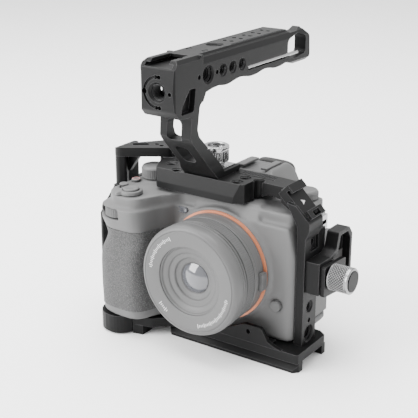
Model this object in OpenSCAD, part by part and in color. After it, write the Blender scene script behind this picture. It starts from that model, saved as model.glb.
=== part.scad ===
// Camera cage rig: a milled cage with a tripod base plate, a top handle and a cable clamp,
// carrying a mirrorless camera body with a short zoom lens.
// Frame: origin at the mouth of the tripod thread under the base plate, X = 0 and Y = 0 on
// its axis. +X is the side with the cable clamp, -Y is the front (lens side), +Z is up.

/* [Base plate] */
// Width of the dovetail rails, front to back
rail_w = 38; // [36:0.5:40]
// Height of the dovetail rails under the plate
rail_h = 6.2; // [5:0.1:8]
// Height of the top face of the base plate
base_top = 12.2; // [11:0.1:14]
// Right end of the base plate
base_x1 = 61; // [58:1:64]

/* [Cage] */
// Height of the underside of the top plate
top_z0 = 95; // [94.5:0.1:96]
// Height of the upper face of the top plate
top_z1 = 107; // [106:0.5:108]
// Outer face of the right-hand strut
strut_x1 = 57; // [56:0.5:58]
// Thickness of the right-hand strut
strut_t = 5.4; // [4:0.1:5.4]

/* [Handle] */
// Side-to-side position of the handle's middle
handle_x = -15; // [-16:0.5:-14]
// Width of the handle
handle_w = 24; // [23:0.5:25]
// Height of the handle's highest face
handle_z = 184.5; // [184:0.5:186]

/* [Camera] */
// Height of the lens axis
lens_z = 53.5; // [52:0.5:55]
// Outer radius of the lens barrel
lens_r = 34.4; // [33:0.1:35]
// Front end of the lens barrel
lens_y = -44; // [-46:1:-42]

/* [Threads and play] */
// Radius of the quarter-inch threads
r14 = 3.175; // [3.1:0.005:3.2]
// Radius of the three-eighths threads
r38 = 4.7625; // [4.7:0.0025:4.8]
// Radial play of a shaft in its hole
play = 0.06; // [0.02:0.01:0.1]

/* [Hidden] */
$fn = 64;
e = 0.01;

// Finishes
c_black = [0.13, 0.13, 0.135];
c_rubber = [0.07, 0.07, 0.07];
c_steel = [0.75, 0.76, 0.77];
c_grey = [0.60, 0.60, 0.60];
c_grey_d = [0.50, 0.50, 0.50];
c_glass = [0.20, 0.22, 0.25];
c_orange = [0.75, 0.30, 0.08];
c_red = [0.80, 0.20, 0.18];

// Camera body, its seat in the cage and the holes that the frame screws use
body_x0 = -74;
body_x1 = 51;
body_front = -9.5;
body_rear = 36;
body_z0 = 12.9;
body_z1 = 86;
cover_z1 = 93;
grip_y = -37;
strut_x0 = strut_x1 - strut_t;
strut_y0 = -6.5;
strut_y1 = 9.5;
cam_screw_y = 12.5;
mode_c = [-60.5, 5];
expo_c = [38, 27];
shutter_c = [-55, -26.3];
record_c = [-67.5, -5.5];
custom_c = [-68, -17];
dial_c = [-62, -28.2];
rear_c = [-56, 29.6];
wheel_c = [-54, 42];
release_c = [40.5, 36];
hot_z = 104.8;
plug_y = [-24, 26];
foot_seam_x = -53;
foot_x0 = -78;
foot_y1 = 35;

// Arch over the grip
arch_top = 113.6;
arch_r = 6.5;

// Handle
hx0 = handle_x - handle_w/2;
hx1 = handle_x + handle_w/2;
neck_w = 20;
foot_w = 25;
screw_y = 8;
knob_z0 = 112.6;
knob_z1 = 122.6;
knob_r = 8.2;
rail_side_z = 178.9;
head_y = -50;
hole_z = 166.5;
side_z = 172.2;

// Cold shoe on the 45 degree shoulder of the cage
shoe_c = [48.6, 99.6];
shoe_half = 9.4;

// Clamp
cl_y0 = -5;
cl_y1 = 36;
cl_x0 = strut_x1;
cl_x1 = 66;
cl_z0 = 47;
cl_z1 = 67;
jaw_x = 66.3;
jaw_t = 2.6;
knob_y = 5;
knob_z = 57;
cknob_r = 8.1;
cknob_l = 14;

// Screen
scr_ax = 46.8;
scr_ay = 41.4;
scr_z0 = 20;
scr_z1 = 77;

// Points of a rounded outline: each corner is [x, y, radius]
function unit2(v) = v / norm(v);
function corner(p, q, r) =
  let (a = unit2([p[0] - q[0], p[1] - q[1]]), b = unit2([r[0] - q[0], r[1] - q[1]]),
       half = acos(max(-1, min(1, a * b))) / 2, d = q[2] / tan(half),
       s = [q[0], q[1]] + a * d, t = [q[0], q[1]] + b * d,
       c = [q[0], q[1]] + unit2(a + b) * q[2] / sin(half),
       a0 = atan2(s[1] - c[1], s[0] - c[0]), a1 = atan2(t[1] - c[1], t[0] - c[0]),
       da = (a1 - a0 > 180) ? a1 - a0 - 360 : (a1 - a0 < -180) ? a1 - a0 + 360 : a1 - a0,
       n = max(1, ceil(abs(da) / 15)))
  q[2] <= 0 ? [[q[0], q[1]]]
    : [for (i = [0:n]) c + q[2] * [cos(a0 + da * i / n), sin(a0 + da * i / n)]];
function soft(pts) =
  [for (i = [0:len(pts) - 1])
    each corner(pts[(i + len(pts) - 1) % len(pts)], pts[i], pts[(i + 1) % len(pts)])];

// Extrusions of a drawn outline along each axis, from a to b
module along_z(a, b) translate([0, 0, a]) linear_extrude(b - a) children();
module along_x(a, b) translate([a, 0, 0]) rotate([90, 0, 90]) linear_extrude(b - a) children();
module along_y(a, b) translate([0, b, 0]) rotate([90, 0, 0]) linear_extrude(b - a) children();

// Round bars and holes along each axis, from a to b
module bar_x(y, z, r, a, b) translate([a, y, z]) rotate([0, 90, 0]) cylinder(h = b - a, r = r);
module bar_y(x, z, r, a, b) translate([x, b, z]) rotate([90, 0, 0]) cylinder(h = b - a, r = r);
module bar_z(x, y, r, a, b) translate([x, y, a]) cylinder(h = b - a, r = r);

// Countersinks: a cone of 45 degrees that opens to r + c at the face
module sink_up(x, y, z, r, c)
  translate([x, y, z - c]) cylinder(h = c + e, r1 = r, r2 = r + c + e);
module sink_down(x, y, z, r, c)
  translate([x, y, z - e]) cylinder(h = c + e, r1 = r + c + e, r2 = r);
module sink_right(x, y, z, r, c)
  translate([x - c, y, z]) rotate([0, 90, 0]) cylinder(h = c + e, r1 = r, r2 = r + c + e);
module sink_left(x, y, z, r, c)
  translate([x - e, y, z]) rotate([0, 90, 0]) cylinder(h = c + e, r1 = r + c + e, r2 = r);
module sink_front(x, y, z, r, c)
  translate([x, y - e, z]) rotate([-90, 0, 0]) cylinder(h = c + e, r1 = r + c + e, r2 = r);

// Round-ended bar from the origin along +X, length l between the end centres
module stadium(l, r, h) {
  cylinder(h = h, r = r);
  translate([l, 0, 0]) cylinder(h = h, r = r);
  translate([0, -r, 0]) cube([l, 2*r, h]);
}

// Ring around a Y axis
module ring_y(x, z, ro, ri, a, b) difference() {
  bar_y(x, z, ro, a, b);
  bar_y(x, z, ri, a - 1, b + 1);
}

// Ribs around a knob: n small bars on a circle of radius r
module ribs(n, r, rr, h) for (i = [0:n - 1]) rotate(i * 360 / n) translate([r, 0, 0])
  rotate(45) translate([-rr / 2, -rr / 2, 0]) cube([rr, rr, h]);

// ---------------------------------------------------------------- cage

top_holes = [[-44.8, 2.6], [-34, -6.2], [9, -5.2], [9, 4], [19, 3.5], [-44.8, 11]];

module plate_plan() polygon(soft([[-47, -12, 6], [9.5, -12, 1], [16, -8, 1], [16, 2.5, 3],
  [40, 1, 0], [40, 15.5, 0], [27, 17, 3], [-24, 17, 2], [-40, 24, 5], [-60, 25, 4],
  [-66, 18, 4], [-56, 6, 8]]));

module on_shoulder() translate([shoe_c[0], -3.4, shoe_c[1]]) rotate([0, 45, 0]) children();
module shoe_channel() {
  translate([-shoe_half, -1, 0]) cube([2*shoe_half, 18, 2.1]);
  translate([-6.6, -1, 1.9]) cube([13.2, 18, 3]);
}

module cage_top() color(c_black) difference() {
  union() {
    // Top plate with a front face that leans back
    intersection() {
      along_z(top_z0, top_z1) plate_plan();
      along_x(-80, 60) polygon([[-12, 94], [-11.6, 99], [-9.4, 107.2], [30, 107.2], [30, 94]]);
    }
    // Raised pad under the side frame's screws
    along_z(top_z1 - 1, top_z1 + 0.5) polygon(soft([[-65, 18, 3], [-57, 8, 3], [-48, 13, 3],
      [-52, 24, 3], [-60, 24.6, 3]]));
    // Shoulder and strut, drawn in the front view
    along_y(strut_y0, strut_y1) polygon(soft([[strut_x0, base_top, 0], [strut_x1, base_top, 0],
      [strut_x1, 80, 3], [59.4, 86, 3], [59.4, 91, 2], [50, 100, 0], [44, 101, 0],
      [strut_x0, 87.5, 4]]));
    along_y(-3, 12.5) polygon([[38, 99], [46, 94], [54, 93.4], [44, 107], [38, 107]]);
    on_shoulder() translate([-12, 0, -5.2]) cube([24, 16, 8.7]);
    // Wedge that the clamp screws onto
    translate([strut_x0, strut_y0, 60]) cube([strut_t, 24, 22]);
    // Toes that stand on the base plate
    translate([strut_x0 - 9, strut_y0 + 2, base_top]) cube([9.4, 11, 0.6]);
  }
  on_shoulder() shoe_channel();
  // Arm's underside rises between the plate and the shoulder
  along_y(-20, 40) polygon(soft([[17, 94, 0], [17, 95.6, 2], [26, 100, 5], [36, 99, 4],
    [41, 94, 0]]));
  // Outer face of the strut: pocket, threads, small holes
  bar_x(1.5, 17.8, r38, 40, 70);
  sink_right(strut_x1, 1.5, 17.8, r38, 0.8);
  bar_x(1.5, 26.6, 1.55, 40, 70);
  bar_x(1.5, 35.6, r14, 40, 70);
  sink_right(strut_x1, 1.5, 35.6, r14, 0.8);
  for (z = [52, 63]) bar_x(13, z, 1.6 + play, 40, 70);
  translate([strut_x1 - 2, 0.5, 71]) cube([5, 9, 9]);
  bar_x(5, 75.5, 2, 40, 70);
  // Strap slot behind the lower lip of the shoe
  translate([55.5, 1, 89.6]) rotate([0, 45, 0]) translate([-4, 0, -8]) cube([3.4, 7, 20]);
  // Threads and pin holes in the top plate
  for (p = top_holes) {
    bar_z(p[0], p[1], r14, 90, 112);
    sink_up(p[0], p[1], top_z1 + (p[1] > 9 ? 0.5 : 0), r14, 0.7);
  }
  bar_z(handle_x, screw_y, r14, 90, 112);
  for (s = [-1, 1]) bar_z(handle_x + 9*s, screw_y, 1.5 + play, 90, 112);
  for (x = [-28, -2]) bar_z(x, 12.5, 1.2, 104, 112);
  // Side frame screws from above
  for (p = side_screws) bar_z(p[0], p[1], 1.55, 90, 112);
  // Relief under the deck for the mode dial
  bar_z(mode_c[0], mode_c[1], 9.6, 90, 103.6);
  // Serrated strip along the rear edge
  for (i = [0:13]) translate([2.5 + i*1.7, 10.5, top_z1 - 0.5]) cube([0.8, 4.5, 2]);
  // Long rebate in front of the serrations
  translate([-8, 8.4, top_z1 - 0.8]) cube([34, 1, 2]);
}
side_screws = [[-59, 17], [-54.5, 20]];

module arch_plan() polygon(soft([[-87, -2.5, 4.4], [-81.5, -8.5, 4.4], [-52, 11.5, 3],
  [-56, 24.3, 2], [-66, 23.6, 3]]));

module grip_side_frame() color(c_black) difference() {
  union() {
    // Arch over the grip
    difference() {
      along_z(107.6, arch_top) arch_plan();
      // Oval strap slot and accessory threads
      translate([-76, 5.2, 100]) rotate(35) stadium(7.3, 2, 20);
    }
    // Gusset under the arch
    along_y(2.4, 5.4) polygon(soft([[-82, 110, 0], [-82, 95, 0], [-79, 96, 1], [-69, 110, 0]]));
    // Post and side wall, rounded in plan around the grip
    along_z(88, 112.8) polygon(soft([[-86.4, -3, 3], [-82.5, -7, 3], [-77, -3.2, 2],
      [-79.5, 2, 1], [-79.5, 14, 2], [-83.4, 14, 2]]));
    along_z(base_top + 0.8, 88.2) polygon(soft([[-80.4, -26.4, 0.4], [-78, -27, 0.4], [-80.3, -16, 4],
      [-81.6, -5, 6], [-81.8, 24, 1], [-85, 24, 1], [-85, -5, 6], [-83, -17, 4]]));
    along_z(84, 88.1) polygon([[-84.8, -4.8], [-81.7, -4.8], [-79.7, 2], [-79.7, 13.8],
      [-84.8, 13.8]]);
    // Root that bolts down on the grip foot
    along_z(base_top + 0.8, base_top + 4) polygon([[-85, 0], [-76, 0], [-76, 22], [-85, 22]]);
  }
  // Wall falls away to the front, and the arch rounds over into its post
  along_x(-90, -76) polygon([[-30, 73], [-30, 90], [-7.2, 90], [-7.2, 87]]);
  difference() {
    translate([-90, -30, arch_top - arch_r]) cube([90 - 87 + arch_r, 60, 20]);
    bar_y(arch_r - 87, arch_top - arch_r, arch_r, -40, 40);
  }
  for (p = [[-64.5, 13.2], [-60, 12]]) bar_z(p[0], p[1], 1.6, 100, 120);
  for (p = side_screws) {
    bar_z(p[0], p[1], 1.6 + play, 100, 120);
    sink_up(p[0], p[1], arch_top, 1.66, 1.5);
  }
  // Foot screws and lightening windows in the wall
  for (y = [5, 17]) bar_z(-78.6, y, 1.6, 10, 20);
  for (z = [30, 56]) translate([-90, 4, z]) cube([12, 13, 16]);
}

// ---------------------------------------------------------------- base

rail_y = rail_w/2;
module rail_profile(s) polygon([[12*s, 0], [rail_y*s, 0], [rail_y*s, 1.8], [(rail_y - 3)*s, 4.8],
  [(rail_y - 3)*s, 6.6], [12*s, 6.6]]);

module base_plate() color(c_black) difference() {
  union() {
    // Deck, flared towards the grip foot
    along_z(rail_h, base_top) polygon(soft([[foot_seam_x + 0.15, -31, 0], [-40, -28, 6],
      [-30, -18.5, 8], [base_x1, -18.5, 1.5], [base_x1, 15, 1.5], [56, 18.5, 1.5],
      [-30, 18.5, 8], [-40, 30, 6], [foot_seam_x + 0.15, 30, 0]]));
    // Dovetail rails with nipped corners
    intersection() {
      union() {
        along_x(-34, base_x1) rail_profile(-1);
        along_x(-34, base_x1) rail_profile(1);
      }
      along_z(0, 7) polygon([[-34, 3 - rail_y], [-31, -rail_y], [base_x1 - 3, -rail_y],
        [base_x1, 3 - rail_y], [base_x1, rail_y - 3], [base_x1 - 3, rail_y], [-31, rail_y],
        [-34, rail_y - 3]]);
    }
    // Bosses between the rails
    for (x = [plug_y[0], 0, plug_y[1]]) translate([x - 7.5, -4.8, 0]) cube([15, 17, rail_h + 0.2]);
    // Flank that carries the seam to the grip foot
    along_z(0, rail_h + 0.2) polygon([[foot_seam_x + 0.15, -31], [-46, -29.6], [-46, 29],
      [foot_seam_x + 0.15, 30]]);
  }
  // Tripod threads
  for (x = [0, plug_y[0]]) {
    bar_z(x, 0, r14, -1, base_top + 1);
    sink_down(x, 0, 0, r14, 0.6);
  }
  bar_z(plug_y[1], 0, r38, -1, base_top + 1);
  sink_down(plug_y[1], 0, 0, r38, 0.6);
  // Seat of the camera screw, with its finger cut in the rear rail
  bar_z(0, cam_screw_y, 6.2, -1, 8.4);
  bar_z(0, cam_screw_y, 3.3, -1, base_top + 1);
  translate([-6.2, cam_screw_y, -1]) cube([12.4, 12, 9.4 - 2.8]);
  // Slot for the stored driver, open at the right end, and the magnets above it
  translate([1.6, -11.9, 2.9]) cube([62, 6.3, 3.4]);
  for (x = [16, 44]) bar_z(x, -8.75, 2.1, rail_h - 1, rail_h + 2.2);
  // Screws of the strut, lens support and grip foot
  for (x = [47, 55]) bar_z(x, 1.5, 1.6, -1, base_top + 1);
  for (x = [12, 36]) bar_z(x, -14, 1.3, 5, base_top + 1);
  for (y = [-20, 20]) bar_x(y, 6, 1.6, -54, -45.8);
  // Lightening pockets
  for (x = [-44, 43]) translate([x - (x < 0 ? 0 : 4), -4, rail_h - 0.5]) cube([8, 12, 3.5]);
}

module grip_foot() color(c_black) difference() {
  union() {
    along_z(1.2, 12.8) polygon(soft([[foot_seam_x - 0.15, -31.5, 0], [foot_seam_x - 0.15, 30, 0],
      [-60, foot_y1, 6], [foot_x0, foot_y1, 9], [foot_x0, -39, 13], [-58, -39.5, 10]]));
    along_z(1.2, 12.8) polygon([[-86.5, 0], [-77, 0], [-77, 22], [-86.5, 22]]);
  }
  // Battery door relief in the top face
  translate([-72, -26, 12]) cube([15, 48, 2]);
  for (y = [-20, 20]) bar_x(y, 6, 1.6, -66, -50);
  for (y = [5, 17]) bar_z(-78.6, y, 1.6, -1, 20);
}

module foot_pad() color(c_rubber) along_z(0, 1.2) polygon(soft([[-54.5, -30, 0.5],
  [-54.5, 29, 0.5], [-60, foot_y1 - 1.5, 5], [foot_x0 + 1.5, foot_y1 - 1.5, 8],
  [foot_x0 + 1.5, -37.5, 12], [-58.5, -38, 9]]));

// Raised lip in front of the plate that steadies the lens barrel's root
module lens_support() color(c_black) difference() {
  union() {
    along_y(-19.3, -16.4) polygon(soft([[3, base_top, 0], [4, base_top + 0.5, 0.3],
      [15, 19, 4], [24, 23.4, 4], [36, 23.4, 3], [40.5, 15.5, 2], [45, 13.6, 1],
      [50, base_top, 0]]));
    translate([7, -17.5, base_top]) cube([35, 6, 2.2]);
  }
  bar_y(0, lens_z, lens_r + 1.2, -30, -10);
  for (x = [12, 36]) bar_z(x, -14, 1.35, 5, 30);
  bar_y(27, 19, 1.6, -30, -10);
}

// Thin rubber pads between the camera and the metal
module body_pads() color(c_rubber) {
  difference() {
    along_z(base_top, body_z0) polygon([[-36, -7], [42, -7], [42, 7], [14, 7], [14, 17.5],
      [-14, 17.5], [-14, 7], [-36, 7]]);
    bar_z(0, cam_screw_y, 3.4, 10, 14);
  }
  translate([-66, -24, 12.8]) cube([8.8, 10, body_z0 - 12.8]);
}

module camera_mount_screw() color(c_steel) difference() {
  union() {
    bar_z(0, cam_screw_y, 5.9, 5.6, 8.1);
    bar_z(0, cam_screw_y, 3.1, 8, 18.2);
  }
  translate([-0.8, cam_screw_y - 7, 5]) cube([1.6, 14, 1.9]);
}

module frame_screws() color(c_black) {
  for (y = [-20, 20]) bar_x(y, 6, 1.5, -64, -46.5);
  for (y = [5, 17]) {
    bar_z(-78.6, y, 1.5, 5, 17);
    bar_z(-78.6, y, 2.8, base_top + 4, base_top + 5.8);
  }
  for (x = [12, 36]) {
    bar_z(x, -14, 1.2, 7, base_top + 2.4);
    bar_z(x, -14, 2.2, base_top + 2.2, base_top + 3.6);
  }
  for (p = side_screws) {
    bar_z(p[0], p[1], 1.5, 98, 112.4);
    translate([p[0], p[1], 112.3]) cylinder(h = 1.2, r1 = 1.5, r2 = 2.7);
  }
  for (x = [47, 55]) bar_z(x, 1.5, 1.5, 6.4, base_top - 0.1);
}

module driver_tool() color(c_steel) difference() {
  union() {
    translate([2, -11.6, 4]) cube([50, 5.7, 2]);
    translate([51, -11, 4]) cube([8, 4.5, 2]);
  }
  bar_z(7, -8.75, 1.5, 0, 10);
  translate([57.5, -12, 5.4]) rotate([0, 20, 0]) cube([6, 8, 2]);
}

module tool_magnets() color(c_steel) for (x = [16, 44])
  bar_z(x, -8.75, 2.05, rail_h + 0.2, rail_h + 2.2);

// ---------------------------------------------------------------- handle

wave = 28.9;
function under(y) = 163.9 + 0.9 * cos((y - 15.4) * 360 / wave);
wave_pts = [for (y = [68:-3:-7]) [y, under(y)]];

// Side outline of the handle, front to back
module handle_side() polygon(concat(soft([[-26, 157.5, 4], [-28.6, 142, 3], [-27, 137.6, 3],
  [-4, 115, 3], [-1.5, 110.4, 0], [16, 110.4, 0.8], [16.5, 108.8, 0], [14.5, 107, 0],
  [-8, 107, 0], [-9.8, 108.8, 0], [-32.8, 134, 2], [-35.4, 137.6, 2], [-34.4, 150.8, 2],
  [-46, 151.4, 4], [head_y, 156, 3], [head_y - 0.8, 167, 8], [head_y, 180, 1],
  [-45.8, handle_z, 1], [74, handle_z, 0], [77, 182, 0], [86, 182.2, 1], [91.5, 184.2, 1.5],
  [99.4, 177.4, 3], [100.3, 164.5, 4], [96.5, 160.8, 3], [86, 160.2, 4], [70.5, 164.3, 1]]),
  wave_pts, [[-14, 163.6], [-20, 162.6]]));

module handle_section() translate([handle_x, 0]) polygon([[-12, 163.5], [-10, 161.5],
  [10, 161.5], [12, 163.5], [12, 179], [9.8, 182.4], [8.6, 182.9], [8.2, handle_z + 1],
  [-8.2, handle_z + 1], [-8.6, 182.9], [-9.8, 182.4], [-12, 179]]);

module handle_body() color(c_black) difference() {
  intersection() {
    along_x(hx0 - 1, hx1 + 1) handle_side();
    union() {
      // Rail, head, neck and foot each have their own width
      along_y(-24, 110) handle_section();
      translate([hx0, -60, 150.5]) cube([handle_w, 37, 40]);
      along_y(-60, 20) translate([handle_x, 0]) polygon([[-12, 170], [-12, 153.5],
        [-neck_w/2, 150.5], [-neck_w/2, 116.5], [-foot_w/2, 111.5], [-foot_w/2, 106],
        [foot_w/2, 106], [foot_w/2, 111.5], [12, 116.5], [12, 170]]);
      translate([hx0, -25, 150]) cube([handle_w, 6, 20]);
    }
  }
  // Tail: outer loop only on the right, the left is cut away behind the rail
  translate([hx0 - 1, 78, 150]) cube([handle_w - 7.5, 30, 40]);
  along_x(hx0 - 2, hx1 + 2) polygon(soft([[71.5, 168, 3], [71.5, 178.6, 4], [86, 181, 3],
    [94.5, 178, 3], [94.5, 167, 3], [80, 165.2, 4]]));
  // Head: main thread, anti-twist pin holes and the arc groove
  bar_y(handle_x, hole_z, r38, -60, -40.5);
  sink_front(handle_x, head_y - 0.8, hole_z, r38, 1.5);
  for (a = [82, 97, 180, 263, 278, 0]) bar_y(handle_x + 8.75*cos(a), hole_z + 8.75*sin(a),
    a == 180 ? 1.7 : 1.2, -60, -46);
  difference() {
    ring_y(handle_x, hole_z, 9.6, 7.9, -60, head_y + 1);
    translate([handle_x - 2, -61, hole_z - 15]) cube([20, 20, 30]);
  }
  // Pockets behind the head, deep on the left and shallow on the right
  along_x(hx0 - 1, handle_x + 2.5) polygon(soft([[-40, 155, 3], [-41, 176, 3], [-31, 176, 3],
    [-29.5, 157, 2]]));
  along_x(hx1 - 3.8, hx1 + 1) polygon(soft([[-44.5, 153.6, 1], [-43.6, 158, 2], [-36.4, 167, 2],
    [-30.2, 167, 1], [-32.2, 153.6, 2]]));
  // Chamfers on the head's front and top edges
  for (s = [-1, 1]) {
    along_z(150, 190) translate([handle_x, 0]) polygon([[10.6*s, -50.8], [10.6*s, -54],
      [14*s, -54], [14*s, -47.4]]);
    along_y(-60, -25) translate([handle_x, 0]) polygon([[12.1*s, 182.2], [14*s, 182.2],
      [14*s, 190], [9.7*s, 190], [9.7*s, 184.6]]);
  }
  // Cold shoe in the top of the head, open to the front
  translate([handle_x - shoe_half, -60, handle_z - 4]) cube([2*shoe_half, 33, 2.1]);
  translate([handle_x - 6.5, -60, handle_z - 2.2]) cube([13, 31, 5]);
  bar_z(handle_x + 5.5, -37, 2.1, handle_z - 7, handle_z);
  // Window through the neck and slot through the inclined leg
  along_y(-60, -20) translate([handle_x, 0]) polygon(soft([[-5.2, 135.6, 2], [5.2, 135.6, 2],
    [5.2, 148.6, 4], [-5.2, 148.6, 4]]));
  along_y(-60, 5) translate([handle_x, 0]) polygon(soft([[-4.8, 118.5, 3], [4.8, 118.5, 3],
    [4.8, 130.4, 3], [-4.8, 130.4, 3]]));
  // Room for the thumb screw, its shaft hole and the seat of its plate
  bar_z(handle_x, screw_y, knob_r + 0.8, 111.7, 126);
  bar_z(handle_x, screw_y, 3.5, 100, 115);
  translate([handle_x - 10.3, screw_y - 8, 109.4]) cube([20.6, 14.6, 2.6]);
  for (s = [-1, 1]) bar_z(handle_x + 9*s, screw_y, 1.5 + play, 100, 109);
  // Threads and pin holes on both flanks
  for (y = [-2.5, 7.7, 17.9]) {
    bar_x(y, side_z, r14, hx0 - 1, hx1 + 1);
    sink_right(hx1, y, side_z, r14, 0.9);
    sink_left(hx0, y, side_z, r14, 0.9);
  }
  bar_x(-17.8, side_z, r38, hx0 - 1, hx1 + 1);
  sink_right(hx1, -17.8, side_z, r38, 0.9);
  sink_left(hx0, -17.8, side_z, r38, 0.9);
  for (y = [-26.8, -8.9]) bar_x(y, side_z, 1.45, hx1 - 5, hx1 + 1);
  // Threads and holes in the top face
  bar_z(handle_x, 6, r38, 176.5, 190);
  sink_up(handle_x, 6, handle_z, r38, 0.9);
  for (s = [-1, 1], y = [-13.5, -10.5]) bar_z(handle_x + 5.6*s, y, 1.3, 180, 190);
  for (y = [20.6, 31, 41.6, 52, 62.6], d = [-1.5, 1.5]) bar_z(handle_x + d*1.6, y, 1.6, 180, 190);
  for (s = [-1, 1]) translate([handle_x + s*7.6 - 0.5, 12, handle_z - 0.7]) cube([1, 60, 2]);
  // Groove of the stored hex key with its magnet seats
  translate([hx1 - 2.6, 24.2, 167.2]) cube([4, 50, 2.8]);
  for (y = [34, 60]) bar_x(y, 168.6, 1.6, hx1 - 4.7, hx1 - 2.5);
  // Side screw seat on the left of the head
  bar_x(-45, 178, 1.6, hx0 - 1, hx0 + 8);
}

module foot_plate() color(c_steel) difference() {
  translate([handle_x - 10, screw_y - 7.7, 109.4]) cube([20, 14.1, 1.6]);
  bar_z(handle_x, screw_y, 3.5, 100, 115);
}

// Ribbed thumb screw with a flat on its right side
module thumb_screw() color(c_steel) translate([handle_x, screw_y, 0]) difference() {
  union() {
    translate([0, 0, knob_z0]) cylinder(h = knob_z1 - knob_z0 - 1.2, r = knob_r - 0.5);
    translate([0, 0, knob_z0 + 0.8]) ribs(36, knob_r - 0.75, 0.9, 6.4);
    translate([0, 0, knob_z1 - 2.6]) cylinder(h = 1.6, r = knob_r);
    translate([0, 0, knob_z1 - 1.1]) cylinder(h = 1.1, r1 = knob_r, r2 = knob_r - 1);
    translate([0, 0, 111.4]) cylinder(h = 2, r = 5);
    translate([0, 0, 98]) cylinder(h = 15, r = r14 - play);
  }
  translate([0, 0, knob_z1 - 2.4]) cylinder(h = 4, r = 5.4);
  translate([0, 0, knob_z1 - 6]) cylinder(h = 8, r = 2.9, $fn = 6);
  translate([6.9, -5, knob_z0 - 1]) cube([4, 10, 9.3]);
  translate([6.2, -1.2, knob_z0 + 1.6]) cube([2, 2.4, 5]);
}

module thumb_screw_ring() color(c_steel) translate([handle_x, screw_y, 111.02])
  difference() {
    cylinder(h = 0.36, r = 5.6);
    translate([0, 0, -1]) cylinder(h = 3, r = 3.3);
  }

module locating_pins() color(c_steel) for (s = [-1, 1])
  bar_z(handle_x + 9*s, screw_y, 1.5, 103.5, 108.9);

module head_screw() color(c_steel) difference() {
  union() {
    bar_x(-45, 178, 1.55, hx0 - 0.5, hx0 + 7);
    translate([hx0 - 2.2, -45, 178]) rotate([0, 90, 0]) cylinder(h = 2.15, r1 = 2, r2 = 3.2);
  }
  translate([hx0 - 3, -45, 178]) rotate([0, 90, 0]) cylinder(h = 2, r = 1.3, $fn = 6);
}

module hex_key() color(c_steel) translate([hx1 - 1.25, 25, 168.6]) rotate([-90, 0, 0])
  cylinder(h = 60, r = 1.25, $fn = 6);

module key_magnets() color(c_steel) for (y = [34, 60])
  bar_x(y, 168.6, 1.55, hx1 - 4.6, hx1 - 2.65);

module shoe_spring() color(c_steel) {
  bar_z(handle_x + 5.5, -37, 2.05, handle_z - 6.9, handle_z - 3.2);
  translate([handle_x + 5.5, -37, handle_z - 3.2]) sphere(r = 1.3);
}

// ---------------------------------------------------------------- clamp

module clamp_housing() color(c_black) difference() {
  union() {
    translate([cl_x0 + 0.02, cl_y0, cl_z0]) cube([cl_x1 - cl_x0, 21, cl_z1 - cl_z0]);
    // Raised loop behind the block
    along_x(cl_x0 + 1, cl_x1) polygon(soft([[10, cl_z0, 0], [33, cl_z0 - 5, 2], [cl_y1, 50, 2],
      [cl_y1, 74, 2], [31.5, 79.5, 2], [18.5, 79.5, 2], [15.6, 69.6, 3], [9, cl_z1, 0]]));
  }
  // Cable passage through the loop, open outwards
  along_x(cl_x0 + 3.6, cl_x1 + 1) polygon(soft([[13, 49.5, 1], [32, 46.5, 1], [33.4, 50, 1],
    [33.4, 72, 1], [30, 77, 1], [20.6, 77, 1], [17.8, 67.4, 2], [13, 65, 1]]));
  // Screw of the knob and the mounting screws
  bar_x(knob_y, knob_z, 2.5 + play, cl_x0 - 1, cl_x1 + 1);
  for (z = [52, 63]) {
    bar_x(13, z, 1.6 + play, cl_x0 - 1, cl_x1 + 1);
    bar_x(13, z, 3, cl_x1 - 4.2, cl_x1 + 1);
  }
  // Guide keys of the jaw
  translate([cl_x1 - 4, -1.8, 49.2]) cube([5, 3.2, 3.2]);
}

module clamp_jaw() color(c_black) difference() {
  union() {
    along_x(jaw_x, jaw_x + jaw_t) polygon(soft([[-3.4, 46, 1.5], [20, 43.5, 2], [22.6, 46, 2],
      [22.6, 63.4, 1.5], [-3.4, 65, 1.5]]));
    translate([cl_x1 - 3.6, -1.6, 49.4]) cube([4.2, 2.8, 2.8]);
  }
  bar_x(knob_y, knob_z, 2.5 + play, jaw_x - 6, jaw_x + jaw_t + 1);
}

module clamp_knob() color(c_steel) difference() {
  union() {
    bar_x(knob_y, knob_z, cknob_r - 0.5, jaw_x + jaw_t + 0.3, jaw_x + jaw_t + 0.3 + cknob_l);
    translate([jaw_x + jaw_t + 1, knob_y, knob_z]) rotate([0, 90, 0])
      ribs(40, cknob_r - 0.75, 0.9, cknob_l - 3);
    bar_x(knob_y, knob_z, cknob_r, jaw_x + jaw_t + cknob_l - 1.6, jaw_x + jaw_t + cknob_l - 0.4);
    bar_x(knob_y, knob_z, 2.5, cl_x0 + 0.6, jaw_x + jaw_t + 2);
  }
  bar_x(knob_y, knob_z, 6.4, jaw_x + jaw_t + cknob_l - 0.7, jaw_x + jaw_t + cknob_l + 2);
}

module clamp_knob_cap() color(c_black)
  bar_x(knob_y, knob_z, 6.35, jaw_x + jaw_t + cknob_l - 0.7, jaw_x + jaw_t + cknob_l + 0.5);

module clamp_screws() color(c_steel) for (z = [52, 63]) difference() {
  union() {
    bar_x(13, z, 1.6, strut_x0 + 0.8, cl_x1 - 4.2);
    bar_x(13, z, 2.8, cl_x1 - 4.2, cl_x1 - 1.8);
  }
  translate([cl_x1 - 3.2, 13, z]) rotate([0, 90, 0]) cylinder(h = 3, r = 1.3, $fn = 6);
}

module clamp_pads() color(c_rubber)
  translate([cl_x0 + 3.6, 17.6, 50]) cube([1, 14.8, 14]);

// ---------------------------------------------------------------- camera

module body_plan(d) polygon(soft([[body_x1 - d, body_front + d, 5], [body_x1 - d, body_rear - d, 5],
  [-68, body_rear - d, 8], [body_x0 + d, 24, 12], [body_x0 + d, grip_y + d, 13],
  [-44 - d, grip_y + d, 10], [-38, -22, 8], [-31, body_front + d, 6]]));

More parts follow.
